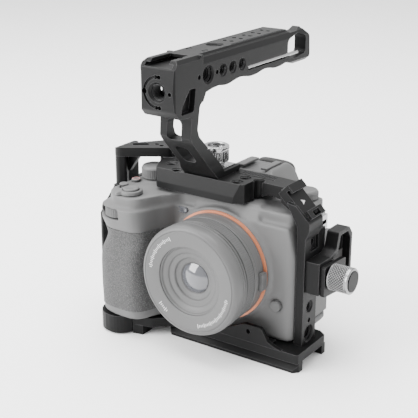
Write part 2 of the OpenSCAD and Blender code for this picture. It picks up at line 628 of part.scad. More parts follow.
module camera_body() color(c_grey) difference() {
  union() {
    along_z(body_z0, body_z0 + 1.5) body_plan(1);
    along_z(body_z0 + 1.4, body_z1) body_plan(0);
    // Boss of the lens mount
    bar_y(0, lens_z, 36.4, -11.2, 0);
  }
  bar_y(0, lens_z, 24, -20, 12);
  bar_y(0, lens_z, 26 + play, -20, -3.9);
  bar_y(0, lens_z, 35.2, -40, -11.2);
  bar_z(0, cam_screw_y, r14, 5, 20);
  lug_blocks();
  // Seats of the front dial, port door and wheels
  bar_z(dial_c[0], dial_c[1], 10.4, 78.4, 85.4);
  translate([body_x1 - 8, 9.8, 18.6]) cube([10, 25.6, 23.4]);
  bar_y(wheel_c[0], wheel_c[1], 10.3, 30, 40);
  bar_y(release_c[0], release_c[1], 3.48, -20, -6.5);
  translate([-72.5, -24, body_z0 - 1]) cube([24, 22, 2.2]);
  // Stepped flank that shows beside the strut
  along_y(-20, 50) polygon([[body_x1 + 1, 60], [body_x1 + 1, 90], [46, 90], [48.5, 80]]);
}

module hump_side() polygon(soft([[-9.4, body_z1, 0], [-4, 94.3, 1], [18.4, 94.3, 0], [18.4, 105, 2],
  [22, 108, 2], [42, 108, 2], [46, 104, 2], [46, body_z1, 0]]));

module top_cover() color(c_grey) difference() {
  union() {
    along_z(body_z1, cover_z1) polygon(soft([[body_x1 - 3.5, -5, 4],
      [body_x1 - 3.5, body_rear - 1, 5], [-66, body_rear - 1, 8], [-72, 22, 12],
      [-72.5, -24, 11], [-62, -33, 8], [-46, -33, 9], [-38, -18, 8], [-30, -7, 6]]));
    // Finder hump
    intersection() {
      along_x(-20, 27) hump_side();
      along_y(-12, 50) polygon(soft([[-20, 85, 0], [27, 85, 0], [24, 95, 2], [17, 108.2, 3],
        [-11, 108.2, 3], [-17, 95, 2]]));
    }
    // Step under the mode dial
    bar_z(mode_c[0], mode_c[1], 9, cover_z1 - 1, 94.2);
  }
  // Seats of the lens boss and the controls
  bar_y(0, lens_z, 36.6, -20, 0.2);
  for (c = [mode_c, expo_c]) bar_z(c[0], c[1], 2.6, 84, 96);
  bar_z(shutter_c[0], shutter_c[1], 2.5, 84, 96);
  for (c = [record_c, custom_c]) bar_z(c[0], c[1], 2.06, 84, 96);
  bar_z(rear_c[0], rear_c[1], 7.6, 86.6, 90.3);
  translate([3 - 10.6, 20.8, hot_z]) cube([21.2, 30, 10]);
  along_y(44, 60) translate([3, 0]) polygon(soft([[-8, 90.5, 2], [8, 90.5, 2], [8, 102, 2],
    [-8, 102, 2]]));
}

// Leather-grained skin of the grip
module grip_skin() color(c_grey_d) difference() {
  along_z(19, 72) polygon(soft([[body_x0 - 0.9, 22, 0], [body_x0 - 0.9, grip_y - 0.9, 13.9],
    [-43.1, grip_y - 0.9, 10.9], [-37, -21.6, 7], [-33.6, -15.6, 0], [-34.6, -15.2, 0],
    [-45, -30, 2], [-45, -10, 0], [-70, -10, 0], [-70, 22, 0]]));
  along_z(10, 90) body_plan(0);
}

module rear_cover() color(c_grey_d) difference() {
  along_y(body_rear, body_rear + 1.4) polygon(soft([[44, 16, 3], [44, 82, 3], [-64, 84, 4],
    [-64, 18, 4]]));
  bar_y(wheel_c[0], wheel_c[1], 10.3, 30, 40);
  bar_y(wheel_c[0], wheel_c[1] + 24, 3.6, 30, 40);
}

module lug_blocks() {
  translate([-75, 20, 76]) cube([3.2, 8, 9]);
  translate([body_x1 - 3.6, 22, 76]) cube([4.4, 8, 9]);
}

module strap_lugs() color(c_steel) difference() {
  lug_blocks();
  for (x = [-78, body_x1 - 6]) translate([x, x < 0 ? 21.4 : 23.4, 79.4]) cube([8, 5.2, 2.6]);
}

module mount_ring() color(c_orange) ring_y(0, lens_z, 34.9, 31, -12.6, -11.2);

// Fixed barrel of the lens, hollow, with a shoulder for the rings
module lens_barrel() color(c_grey) difference() {
  union() {
    bar_y(0, lens_z, 33.6, -20, -12.6);
    bar_y(0, lens_z, 31.6, -42.4, -19);
    bar_y(0, lens_z, 26, -12.7, -4);
  }
  bar_y(0, lens_z, 22.2, -50, 0);
}

module zoom_ring() color(c_grey_d) translate([0, 0, lens_z]) rotate([90, 0, 0]) difference() {
  union() {
    translate([0, 0, 20.4]) cylinder(h = 13.2, r = lens_r - 0.5);
    translate([0, 0, 21.4]) ribs(60, lens_r - 0.8, 0.8, 11);
  }
  translate([0, 0, 10]) cylinder(h = 40, r = 31.6 + play);
}

module front_ring() color(c_grey) translate([0, 0, lens_z]) rotate([90, 0, 0]) difference() {
  union() {
    translate([0, 0, 34]) cylinder(h = -lens_y - 36.4, r = lens_r);
    translate([0, 0, -lens_y - 2.5]) cylinder(h = 2.5, r1 = lens_r, r2 = lens_r - 2);
  }
  translate([0, 0, 30]) cylinder(h = 40, r = 24.6);
  translate([0, 0, 30]) cylinder(h = 12.4, r = 31.62);
}

// Stepped bezel inside the front ring
module inner_tube() color(c_grey_d) translate([0, 0, lens_z]) rotate([90, 0, 0]) difference() {
  union() {
    translate([0, 0, 20]) cylinder(h = 24.5, r = 22);
    translate([0, 0, 42.42]) cylinder(h = 1.2, r = 24.4);
  }
  translate([0, 0, 10]) cylinder(h = 30, r = 18);
  translate([0, 0, 38]) cylinder(h = 5.2, r1 = 13, r2 = 15.5);
  translate([0, 0, 43]) cylinder(h = 5, r1 = 15.5, r2 = 20.5);
}

// Domed front element: its face is an arc of radius 32 turned around the lens axis
function dome(r, big) = [for (i = [0:8]) let (x = r * i / 8) [x, sqrt(big*big - x*x) - big]];
module front_glass() color(c_glass) translate([0, 0, lens_z]) rotate([90, 0, 0])
  translate([0, 0, 41.2]) rotate_extrude()
    polygon(concat(dome(12.6, 32), [[12.6, -3.6], [0, -3.6]]));

module zoom_lever() color(c_grey_d) intersection() {
  ring_y(0, lens_z, 36.1, 33.66, -18.6, -13.6);
  translate([30, -30, lens_z - 6.5]) cube([10, 20, 11]);
}

module release_button() color(c_grey) bar_y(release_c[0], release_c[1], 3.4, -11.6, -8);

// A dial: ribbed rim, bevelled top and a spindle
module dial(x, y, z, r, h, sh) translate([x, y, z]) {
  cylinder(h = h - 1, r = r - 0.35);
  translate([0, 0, h - 1]) cylinder(h = 1, r1 = r - 0.35, r2 = r - 1.1);
  translate([0, 0, 0.8]) ribs(36, r - 0.55, 0.75, h - 2.2);
  translate([0, 0, -sh]) cylinder(h = sh + 1, r = 2.55);
}
module mode_dial() color(c_grey) dial(mode_c[0], mode_c[1], 94.4, 8.4, 8.2, 5);
module exposure_dial() color(c_grey) dial(expo_c[0], expo_c[1], 93.2, 7.8, 5.6, 4);

// Round button with a stem in its bore
module button(c, r, stem, z0, z1) {
  bar_z(c[0], c[1], r, z0, z1);
  bar_z(c[0], c[1], stem, 87.6, z0 + 1);
}
module shutter_button() color(c_grey) button(shutter_c, 5, 2.44, 94.6, 97);
module record_button() color(c_red) button(record_c, 2.9, 2, 93.7, 95);
module custom_button() color(c_grey_d) button(custom_c, 2.9, 2, 93.7, 94.8);

module power_ring() color(c_grey_d) difference() {
  union() {
    bar_z(shutter_c[0], shutter_c[1], 7.2, 93.2, 95.8);
    translate([shutter_c[0], shutter_c[1], 93.2]) rotate(235) translate([6, -2, 0])
      cube([4.2, 4, 2.2]);
  }
  bar_z(shutter_c[0], shutter_c[1], 5.3, 90, 100);
}

module front_dial() color(c_grey_d) translate([dial_c[0], dial_c[1], 79]) {
  cylinder(h = 6, r = 9.4);
  translate([0, 0, 0.5]) ribs(40, 9.2, 0.7, 5);
}

module rear_dial() color(c_grey_d) translate([rear_c[0], rear_c[1], 86.9]) {
  cylinder(h = 3, r = 7);
  translate([0, 0, 0.2]) ribs(36, 6.8, 0.7, 2.6);
}

module control_wheel() color(c_grey_d) difference() {
  translate([wheel_c[0], 38.4, wheel_c[1]]) rotate([90, 0, 0]) {
    cylinder(h = 2, r = 9.2);
    translate([0, 0, 0.3]) ribs(40, 9.1, 0.8, 1.4);
  }
  bar_y(wheel_c[0], wheel_c[1], 4.3, 30, 40);
}
module wheel_button() color(c_grey) bar_y(wheel_c[0], wheel_c[1], 3.9, 33.5, 38.6);
module joystick() color(c_grey_d) {
  bar_x(37, wheel_c[1] + 24, 0.75, wheel_c[0] - 2, wheel_c[0] + 2);
  bar_y(wheel_c[0], wheel_c[1] + 24, 1.4, 36.5, 39);
  bar_y(wheel_c[0], wheel_c[1] + 24, 2.7, 38.9, 41);
}

// Accessory shoe on the finder hump
module hot_shoe() color(c_grey_d) translate([3, 30, hot_z]) difference() {
  translate([-10.4, -9, 0]) cube([20.8, 18, 3.9]);
  translate([-9.3, -10, 0.8]) cube([18.6, 22, 2]);
  translate([-6.2, -10, 1.5]) cube([12.4, 22, 5]);
}

module eyecup() color(c_rubber) difference() {
  along_y(46.1, 52) translate([3, 0]) polygon(soft([[-15, 86, 4], [15, 86, 4], [14, 106.5, 5],
    [-14, 106.5, 5]]));
  along_y(40, 60) translate([3, 0]) polygon(soft([[-10, 89.6, 3], [10, 89.6, 3], [9.4, 103, 3],
    [-9.4, 103, 3]]));
}

module finder_glass() color(c_glass) along_y(44.1, 45.3) translate([3, 0])
  polygon(soft([[-7.9, 90.6, 2], [7.9, 90.6, 2], [7.9, 101.9, 2], [-7.9, 101.9, 2]]));

module screen_arm() color(c_grey) {
  bar_z(scr_ax, scr_ay, 2.4, 28, 70);
  translate([scr_ax - 4.1, scr_ay - 1.4, 30]) cube([4.1, 2.8, 38]);
}

module screen_panel() color(c_grey) difference() {
  along_y(39.3, 43.5) polygon(soft([[-34, scr_z0, 3], [42.6, scr_z0, 3], [42.6, scr_z1, 3],
    [-34, scr_z1, 3]]));
  along_y(38.6, 39.9) polygon(soft([[-30, scr_z0 + 5, 1], [36, scr_z0 + 5, 1],
    [36, scr_z1 - 5, 1], [-30, scr_z1 - 5, 1]]));
}

module screen_glass() color(c_glass) along_y(39.32, 39.9)
  polygon(soft([[-29.9, scr_z0 + 5.1, 1], [35.9, scr_z0 + 5.1, 1],
    [35.9, scr_z1 - 5.1, 1], [-29.9, scr_z1 - 5.1, 1]]));

module port_door() color(c_grey_d) {
  translate([body_x1 - 1.4, 10.2, 19.4]) cube([1.4, 24.8, 22.2]);
  bar_y(body_x1 - 1.1, 20, 1, 10.2, 35);
}

module port_sockets() color(c_steel) {
  translate([body_x1 - 7.9, 13, 24]) cube([4, 8, 4]);
  translate([body_x1 - 7.9, 13, 33]) cube([4, 8, 4]);
  bar_x(28, 26, 2.6, body_x1 - 7.9, body_x1 - 3.9);
  bar_x(28, 36, 2.6, body_x1 - 7.9, body_x1 - 3.9);
}

module battery_door() color(c_grey_d) translate([-72.2, -23.8, body_z0])
  cube([23.4, 21.6, 1.1]);

cage_top();
grip_side_frame();
base_plate();
grip_foot();
foot_pad();
lens_support();
body_pads();
camera_mount_screw();
frame_screws();
driver_tool();
tool_magnets();
handle_body();
foot_plate();
thumb_screw();
thumb_screw_ring();
locating_pins();
head_screw();
hex_key();
key_magnets();
shoe_spring();
clamp_housing();
clamp_jaw();
clamp_knob();
clamp_knob_cap();
clamp_screws();
clamp_pads();
camera_body();
top_cover();
grip_skin();
rear_cover();
strap_lugs();
mount_ring();
lens_barrel();
zoom_ring();
front_ring();
inner_tube();
front_glass();
zoom_lever();
release_button();
mode_dial();
exposure_dial();
shutter_button();
power_ring();
record_button();
custom_button();
front_dial();
rear_dial();
control_wheel();
wheel_button();
joystick();
hot_shoe();
eyecup();
finder_glass();
screen_arm();
screen_panel();
screen_glass();
port_door();
port_sockets();
battery_door();
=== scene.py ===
import bmesh
import bpy
import math
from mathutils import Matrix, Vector


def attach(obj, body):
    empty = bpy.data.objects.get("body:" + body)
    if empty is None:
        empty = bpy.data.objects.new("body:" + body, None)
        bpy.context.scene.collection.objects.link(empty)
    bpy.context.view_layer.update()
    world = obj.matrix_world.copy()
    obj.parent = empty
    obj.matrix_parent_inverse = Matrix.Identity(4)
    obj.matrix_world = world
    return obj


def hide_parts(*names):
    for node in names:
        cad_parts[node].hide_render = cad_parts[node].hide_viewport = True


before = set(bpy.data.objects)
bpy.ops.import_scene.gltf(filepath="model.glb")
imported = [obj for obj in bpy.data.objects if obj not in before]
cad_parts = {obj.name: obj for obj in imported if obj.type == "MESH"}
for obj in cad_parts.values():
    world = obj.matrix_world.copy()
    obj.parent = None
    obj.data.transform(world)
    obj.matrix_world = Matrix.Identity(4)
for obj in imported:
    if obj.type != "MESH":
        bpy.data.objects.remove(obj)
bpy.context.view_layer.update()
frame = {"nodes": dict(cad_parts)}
cad = frame["nodes"]
mm = 0.001


# a shader socket: + - * > < on it, and 1 - mask, add Math, Mix or Vector Math nodes
class Sock:
    def __init__(self, finish, out, kind="number"):
        self.finish, self.out, self.kind = finish, out, kind

    def join(self, operation, other, flip=False):
        first, second = (other, self) if flip else (self, other)
        kinds = {getattr(x, "kind", "number") for x in (first, second)}
        if "colour" in kinds:
            settings = {"data_type": "RGBA", "blend_type": operation, "clamp_result": True}
            return self.finish.node("Mix", settings, {0: 1.0, 6: first, 7: second}, 2, "colour")
        settings = {"operation": operation}
        if "vector" not in kinds:
            return self.finish.node("Math", settings, {0: first, 1: second})
        if operation == "MULTIPLY" and not isinstance(other, (tuple, Sock)):
            return self.finish.node("VectorMath", {"operation": "SCALE"}, {0: self, 3: other}, 0, "vector")
        return self.finish.node("VectorMath", settings, {0: first, 1: second}, 0, "vector")

    def __add__(self, other):
        return self.join("ADD", other)

    def __radd__(self, other):
        return self.join("ADD", other, True)

    def __sub__(self, other):
        return self.join("SUBTRACT", other)

    def __rsub__(self, other):
        return self.join("SUBTRACT", other, True)

    def __mul__(self, other):
        return self.join("MULTIPLY", other)

    def __rmul__(self, other):
        return self.join("MULTIPLY", other, True)

    def __gt__(self, other):
        return self.join("GREATER_THAN", other)

    def __lt__(self, other):
        return self.join("LESS_THAN", other)

    def clamped(self):
        return self.finish.node("Math", {"operation": "ADD", "use_clamp": True}, {0: self, 1: 0.0})


class Finish:
    def __init__(self, name):
        self.material = bpy.data.materials.new(name)
        self.material.use_nodes = True
        self.tree = self.material.node_tree
        self.shader = self.tree.nodes["Principled BSDF"]
        self.place = self.node("TexCoord", {}, {}, 3, "vector")

    # any node: its type, settings, values or links of its sockets, and which output comes back
    def node(self, kind, settings, values, out=0, outKind="number"):
        made = self.tree.nodes.new("ShaderNode" + kind)
        for key, value in settings.items():
            setattr(made, key, value)
        for key, value in values.items():
            self.feed(made.inputs[key], value)
        return Sock(self, made.outputs[out], outKind)

    def feed(self, socket, value):
        if isinstance(value, Sock):
            self.tree.links.new(value.out, socket)
        elif hasattr(value, "__len__") and len(value) == 3 and socket.type == "RGBA":
            socket.default_value = (*value, 1.0)
        else:
            socket.default_value = value

    def set(self, **values):
        names = {"colour": "Base Color", "roughness": "Roughness", "metallic": "Metallic", "normal": "Normal",
                 "coat": "Coat Weight", "coatRoughness": "Coat Roughness", "specular": "Specular IOR Level"}
        for key, value in values.items():
            self.feed(self.shader.inputs[names[key]], value)
        return self.material

    def noise(self, size, detail=2.0, rough=0.5, place=None):
        return self.node("TexNoise", {}, {"Vector": place or self.place, "Scale": 1 / size,
                                          "Detail": detail, "Roughness": rough})

    def cells(self, size, place):
        return self.node("TexVoronoi", {"feature": "DISTANCE_TO_EDGE"}, {"Vector": place, "Scale": 1 / size})

    def mix(self, factor, low, high):
        return self.node("Mix", {"data_type": "RGBA"}, {0: factor, 6: low, 7: high}, 2, "colour")

    # 0 below low, 1 above high
    def ramp(self, value, low, high):
        return self.node("MapRange", {"clamp": True}, {0: value, 1: low, 2: high, 3: 0.0, 4: 1.0})

    def bump(self, height, depth, strength, normal=None):
        values = {"Height": height, "Distance": depth, "Strength": strength}
        if normal:
            values["Normal"] = normal
        return self.node("Bump", {}, values, 0, "vector")

    # the surface turned by a small bevel, and a mask that is 0 on flats and 1 on edges
    def edges(self, radius, gain):
        rounded = self.node("Bevel", {"samples": 6}, {"Radius": radius}, 0, "vector")
        facing = self.node("NewGeometry", {}, {}, 1, "vector")
        same = self.node("VectorMath", {"operation": "DOT_PRODUCT"}, {0: rounded, 1: facing}, 1)
        return rounded, ((1.0 - same) * gain).clamped()


# black anodised aluminium, bead blasted before the dye; its edges are painted lighter in patches, partly wear
# and partly a painted highlight on the chamfers
def anodisedBlack():
    look = {"dye": 0.0055, "wearAndHighlight": (0.11, 0.11, 0.113), "grain": 0.28 * mm, "cloud": 14 * mm,
            "edgePatch": 3 * mm, "edgeRadius": 0.5 * mm, "rough": 0.42, "specular": 0.12, "blast": 0.02 * mm}
    f = Finish("anodisedBlack")
    grain = f.noise(look["grain"], 3.0, 0.6)
    cloud = f.noise(look["cloud"], 3.0)
    rounded, edge = f.edges(look["edgeRadius"], 5.0)
    thin, full = look["dye"] * 0.85, look["dye"] * 1.15
    dye = f.mix(cloud, (thin,) * 3, (full, full, look["dye"] * 1.2))
    # edges painted a lighter grey: a painted highlight along the chamfers, mixed with some wear
    return f.set(colour=f.mix(edge * (0.35 + 0.5 * f.noise(look["edgePatch"])), dye, look["wearAndHighlight"]),
                 roughness=look["rough"] + 0.10 * (cloud - 0.5) + 0.10 * (grain - 0.5) - 0.10 * edge,
                 specular=look["specular"], normal=f.bump(grain, look["blast"], 0.5, rounded))


# moulded rubber pads and the cushion under the grip
def softRubber():
    look = {"clean": (0.016, 0.016, 0.016), "dusty": (0.034, 0.033, 0.032), "grain": 0.5 * mm,
            "dust": 9 * mm, "rough": 0.72, "depth": 0.05 * mm}
    f = Finish("softRubber")
    grain = f.noise(look["grain"], 4.0, 0.7)
    dust = f.noise(look["dust"], 4.0)
    return f.set(colour=f.mix(dust, look["clean"], look["dusty"]),
                 roughness=look["rough"] + 0.14 * (dust - 0.5), normal=f.bump(grain, look["depth"], 0.6))


# turned metal: fine rings round an axis, and painted shade darkening the grooves of a knurled band
def turnedMetal(name, tone, rough, across=(1.0, 1.0, 0.05), knurl=None):
    look = {"lay": 0.12 * mm, "stain": 5 * mm, "edgeRadius": 0.2 * mm, "grooveShade": 0.14, "depth": 0.006 * mm}
    f = Finish(name)
    lay = f.noise(look["lay"], 2.0, 0.6, f.place * across)
    stain = f.noise(look["stain"], 3.0)
    rounded, edge = f.edges(look["edgeRadius"], 4.0)
    metal = f.mix(stain, (tone * 0.92,) * 3, (tone, tone * 1.005, tone * 1.02))
    if knurl:
        local = f.place - tuple(c * mm for c in knurl["centre"])
        away = f.node("VectorMath", {"operation": "LENGTH"}, {0: local * knurl["across"]}, 1)
        along = f.node("VectorMath", {"operation": "DOT_PRODUCT"}, {0: f.place, 1: knurl["along"]}, 1)
        inBand = (along > knurl["band"][0] * mm) * (along < knurl["band"][1] * mm)
        # the knurl's valleys are painted nearly black: painted shade in the grooves
        groove = (1.0 - f.ramp(away, knurl["valley"] * mm, knurl["crest"] * mm)) * inBand
        metal = f.mix(groove, metal, (tone * look["grooveShade"],) * 3)
    return f.set(colour=metal, metallic=1.0,
                 roughness=rough + 0.14 * (lay - 0.5) + 0.06 * (stain - 0.5) - 0.06 * edge,
                 normal=f.bump(lay, look["depth"], 0.35, rounded))


# pale moulded magnesium and plastic of the camera, lightly textured; its edges are painted lighter, a painted
# highlight with some wear
def mouldedGrey(name, tone, grainSize, depth, rough):
    look = {"cloud": 18 * mm, "edgeRadius": 0.9 * mm, "specular": 0.3}
    f = Finish(name)
    grain = f.noise(grainSize, 3.0, 0.65)
    cloud = f.noise(look["cloud"], 2.0)
    rounded, edge = f.edges(look["edgeRadius"], 3.0)
    worn = f.mix(cloud, (tone * 0.95,) * 3, (tone * 1.05,) * 3)
    # edges painted almost half again lighter: a painted highlight along the rims
    return f.set(colour=f.mix(edge * 0.35, worn, (tone * 1.45,) * 3),
                 roughness=rough + 0.12 * (grain - 0.5) + 0.06 * (cloud - 0.5),
                 specular=look["specular"], normal=f.bump(grain, depth, 0.6, rounded))


# leather-grained rubber: pebbles parted by fine creases, which are painted darker than the crowns as painted
# shade
def leatherGrip():
    look = {"pebble": 1.05 * mm, "creaseShade": (0.036, 0.036, 0.036), "crown": (0.080, 0.080, 0.080),
            "bend": 2.4 * mm, "bendBy": (0.6 * mm, 0.5 * mm), "fine": 0.3 * mm, "rough": 0.74,
            "specular": 0.35, "depth": 0.16 * mm}
    f = Finish("leatherGrip")
    bend = f.noise(look["bend"], 2.0)
    shift = f.node("CombineXYZ", {}, {0: bend * look["bendBy"][0], 1: bend * look["bendBy"][1]}, 0, "vector")
    crown = f.ramp(f.cells(look["pebble"], f.place + shift), 0.02, 0.28)
    fine = f.noise(look["fine"], 2.0)
    # creases painted darker than the crowns: painted shade in the creases
    return f.set(colour=f.mix(crown, look["creaseShade"], look["crown"]),
                 roughness=look["rough"] - 0.12 * crown + 0.08 * (fine - 0.5), specular=look["specular"],
                 normal=f.bump(crown + 0.15 * fine, look["depth"], 0.8))


# anodised metal ring round the lens mount
def orangeRing():
    look = {"dark": (0.50, 0.17, 0.085), "light": (0.60, 0.22, 0.12), "lay": 0.2 * mm, "cloud": 6 * mm,
            "metallic": 0.3, "rough": 0.34, "depth": 0.01 * mm}
    f = Finish("orangeRing")
    lay = f.noise(look["lay"], 2.0, 0.5, f.place * (1.0, 0.05, 1.0))
    return f.set(colour=f.mix(f.noise(look["cloud"]), look["dark"], look["light"]),
                 metallic=look["metallic"], roughness=look["rough"] + 0.12 * (lay - 0.5),
                 normal=f.bump(lay, look["depth"], 0.4))


# coated optical glass: a dark, faintly tinted mirror-smooth face
def coatedGlass():
    look = {"tone": (0.060, 0.062, 0.070), "smear": 7 * mm, "rough": 0.06, "specular": 0.8,
            "coat": 0.6, "coatRoughness": 0.03, "depth": 0.004 * mm}
    f = Finish("coatedGlass")
    smear = f.noise(look["smear"], 3.0)
    return f.set(colour=f.mix(smear, look["tone"], tuple(1.25 * c for c in look["tone"])),
                 roughness=look["rough"] + 0.05 * smear, specular=look["specular"], coat=look["coat"],
                 coatRoughness=look["coatRoughness"], normal=f.bump(smear, look["depth"], 0.1))


# printed ink, a little thin in spots
def printedInk(name, thin, full, spot, detail, rough):
    f = Finish(name)
    worn = f.noise(spot, detail)
    return f.set(colour=f.mix(worn, thin, full), roughness=rough + 0.1 * worn,
                 normal=f.bump(worn, 0.01 * mm, 0.3))


def smoothStep(value, low, high):
    t = max(0.0, min(1.0, (value - low) / (high - low)))
    return t * t * (3 - 2 * t)


# a finished piece on its body; edges of more than sharp degrees stay crisp
def addPiece(name, data, material, body, stands=(), sharp=32.0):
    mesh = bmesh.new()
    mesh.from_mesh(data)
    bmesh.ops.recalc_face_normals(mesh, faces=mesh.faces)
    for face in mesh.faces:
        face.smooth = True
    for edge in mesh.edges:
        edge.smooth = len(edge.link_faces) == 2 and edge.calc_face_angle(0) < math.radians(sharp)
    mesh.to_mesh(data)
    mesh.free()
    piece = bpy.data.objects.new(name, data)
    bpy.context.scene.collection.objects.link(piece)
    data.materials.clear()
    data.materials.append(material)
    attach(piece, body)
    if stands:
        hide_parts(*stands)


# meshes from rows of points; sizes are in millimetres
class Build:
    def __init__(self):
        self.points, self.faces = [], []

    # closed rows joined by quads; loop also joins the last row to the first
    def rows(self, rows, loop=False, caps=True):
        first = len(self.points)
        count = len(rows[0])
        for row in rows:
            self.points += [Vector(p) * mm for p in row]
        last = len(rows) if loop else len(rows) - 1
        for j in range(last):
            a, b = first + j * count, first + (j + 1) % len(rows) * count
            for i in range(count):
                k = (i + 1) % count
                self.faces.append((a + i, a + k, b + k, b + i))
        if caps and not loop:
            end = first + len(rows) * count
            self.faces.append(tuple(range(first + count - 1, first - 1, -1)))
            self.faces.append(tuple(range(end - count, end)))
        return self

    # a profile of (radius, height) turned round an axis; ripple cuts into the radius by angle and height
    def turned(self, profile, place, segments, ripple=None, loop=False):
        rows = []
        for radius, height in profile:
            row = []
            for i in range(segments):
                angle = 2 * math.pi * i / segments
                r = radius - (ripple(angle, height) if ripple else 0.0)
                row.append(place(r * math.cos(angle), r * math.sin(angle), height))
            rows.append(row)
        return self.rows(rows, loop=loop)

    # a helical ridge inside a tapped hole; its height and half widths are shares of the pitch
    def ridge(self, place, radius, pitch, start, depth):
        thread = {"sunk": 0.03, "height": 0.54, "crestHalf": 0.07, "footHalf": 0.44, "perTurn": 28}
        foot, crest = radius + thread["sunk"], radius - thread["height"] * pitch
        across = ((foot, -thread["footHalf"]), (crest, -thread["crestHalf"]), (crest, thread["crestHalf"]),
                  (foot, thread["footHalf"]))
        rows = []
        for i in range(int(depth / pitch * thread["perTurn"])):
            angle = 2 * math.pi * i / thread["perTurn"]
            along = start + pitch * i / thread["perTurn"]
            rows.append([place(r * math.cos(angle), r * math.sin(angle), along + w * pitch)
                         for r, w in across])
        return self.rows(rows)

    def done(self, name):
        data = bpy.data.meshes.new(name)
        data.from_pydata(self.points, [], self.faces)
        data.update()
        return data


# places for a turned shape: its axis points up, to the right or forward
def upAt(x, y):
    return lambda u, v, h: (x + u, y + v, h)


def rightAt(y, z):
    return lambda u, v, h: (h, y + u, z + v)


def forwardAt(x, z):
    return lambda u, v, h: (x + u, -h, z + v)


# 1 between two heights, fading to 0 over run at both ends
def within(height, low, high, run):
    return smoothStep(height, low, low + run) * (1 - smoothStep(height, high - run, high))


# straight flutes: shallow valleys round a knob, only between two heights
def flutes(count, depth, low, high):
    def ripple(angle, height):
        return depth * within(height, low, high, 0.4) * (0.5 - 0.5 * math.cos(count * angle)) ** 0.7
    return ripple


# crossed knurling: two sets of leaning grooves that leave small pyramids
def diamonds(count, depth, low, high):
    def ripple(angle, height):
        lean = (height - low) / 8.0
        one = abs(math.sin(0.5 * count * (angle + lean)))
        two = abs(math.sin(0.5 * count * (angle - lean)))
        return depth * within(height, low, high, 0.5) * (1 - min(one, two) ** 0.8)
    return ripple


def steps(low, high, size):
    count = max(2, int((high - low) / size))
    return [low + (high - low) * i / count for i in range(count + 1)]


black = anodisedBlack()
rubber = softRubber()
steel = turnedMetal("turnedSteel", 0.40, 0.20)
shell = mouldedGrey("shellGrey", 0.099, 0.45 * mm, 0.03 * mm, 0.55)
darkShell = mouldedGrey("controlGrey", 0.090, 0.4 * mm, 0.02 * mm, 0.5)
lensGrey = mouldedGrey("lensGrey", 0.086, 0.3 * mm, 0.012 * mm, 0.42)
leather = leatherGrip()
orange = orangeRing()
glass = coatedGlass()
red = printedInk("redInk", (0.45, 0.20, 0.19), (0.52, 0.26, 0.25), 1.2 * mm, 3.0, 0.5)
pale = printedInk("paleInk", (0.50, 0.50, 0.50), (0.58, 0.58, 0.58), 0.8 * mm, 2.0, 0.55)
print("finishes")


# CAD nodes keep their exact faces; their finish rounds the edges
def dress(name, material):
    cad[name].data.materials.clear()
    cad[name].data.materials.append(material)


dressed = {
    black: ["cage_top", "grip_side_frame", "base_plate", "grip_foot", "lens_support", "handle_body",
            "clamp_housing", "clamp_jaw", "clamp_knob_cap", "frame_screws"],
    rubber: ["foot_pad", "body_pads", "clamp_pads", "eyecup"],
    steel: ["camera_mount_screw", "driver_tool", "foot_plate", "thumb_screw", "thumb_screw_ring",
            "locating_pins", "head_screw", "hex_key", "shoe_spring", "clamp_screws", "strap_lugs",
            "port_sockets", "tool_magnets", "key_magnets"],
    shell: ["camera_body", "top_cover", "rear_cover", "screen_arm", "screen_panel", "battery_door",
            "port_door"],
    leather: ["grip_skin"],
    darkShell: ["mode_dial", "exposure_dial", "power_ring", "shutter_button", "custom_button", "front_dial",
                "rear_dial", "control_wheel", "wheel_button", "joystick", "release_button", "record_button"],
    lensGrey: ["hot_shoe", "lens_barrel", "zoom_ring", "front_ring", "inner_tube", "zoom_lever"],
    orange: ["mount_ring"],
    glass: ["front_glass", "finder_glass", "screen_glass"],
}
for material, names in dressed.items():
    for name in names:
        dress(name, material)


# a real helix in each tapped hole that shows: its place, size, start and depth along the hole
def threadedHoles():
    quarter = {"radius": 3.175, "pitch": 1.27}
    threeEighths = {"radius": 4.7625, "pitch": 1.5875}
    handle = {"x": -15.0, "frontZ": 166.5, "flankZ": 172.2, "topY": 6.0, "largeY": -17.8,
              "spareY": (-2.5, 7.7, 17.9)}
    plate = {"places": ((-44.8, 2.6), (-34, -6.2), (9, -5.2), (9, 4), (-44.8, 11)), "low": 101.5, "deep": 4.6}
    strut = {"y": 1.5, "start": 51.8, "deep": 4.2, "largeZ": 17.8, "spareZ": 35.6}
    base = {"places": ((0, quarter), (-24, quarter), (26, threeEighths)), "low": 1.0, "deep": 10.0}

    def flankAt(side, y):
        return lambda u, v, h: (handle["x"] + side * h, y + u, handle["flankZ"] + v)

    inHandle = [(forwardAt(handle["x"], handle["frontZ"]), threeEighths, 42.3, 7.0)]
    for side in (-1, 1):
        inHandle += [(flankAt(side, y), quarter, 4.5, 6.5) for y in handle["spareY"]]
        inHandle.append((flankAt(side, handle["largeY"]), threeEighths, 3.0, 7.6))
    inHandle.append((upAt(handle["x"], handle["topY"]), threeEighths, 177.2, 6.0))
    inCage = [(upAt(x, y), quarter, plate["low"], plate["deep"]) for x, y in plate["places"]]
    for z, size in ((strut["largeZ"], threeEighths), (strut["spareZ"], quarter)):
        inCage.append((rightAt(strut["y"], z), size, strut["start"], strut["deep"]))
    inBase = [(upAt(x, 0), size, base["low"], base["deep"]) for x, size in base["places"]]
    for name, holes, slot in (("handle_threads", inHandle, "handle_metal"),
                              ("cage_threads", inCage, "cage_metal"),
                              ("base_threads", inBase, "cage_metal")):
        build = Build()
        for place, size, start, depth in holes:
            build.ridge(place, size["radius"], size["pitch"], start, depth)
        addPiece(name, build.done(name), black, "root")


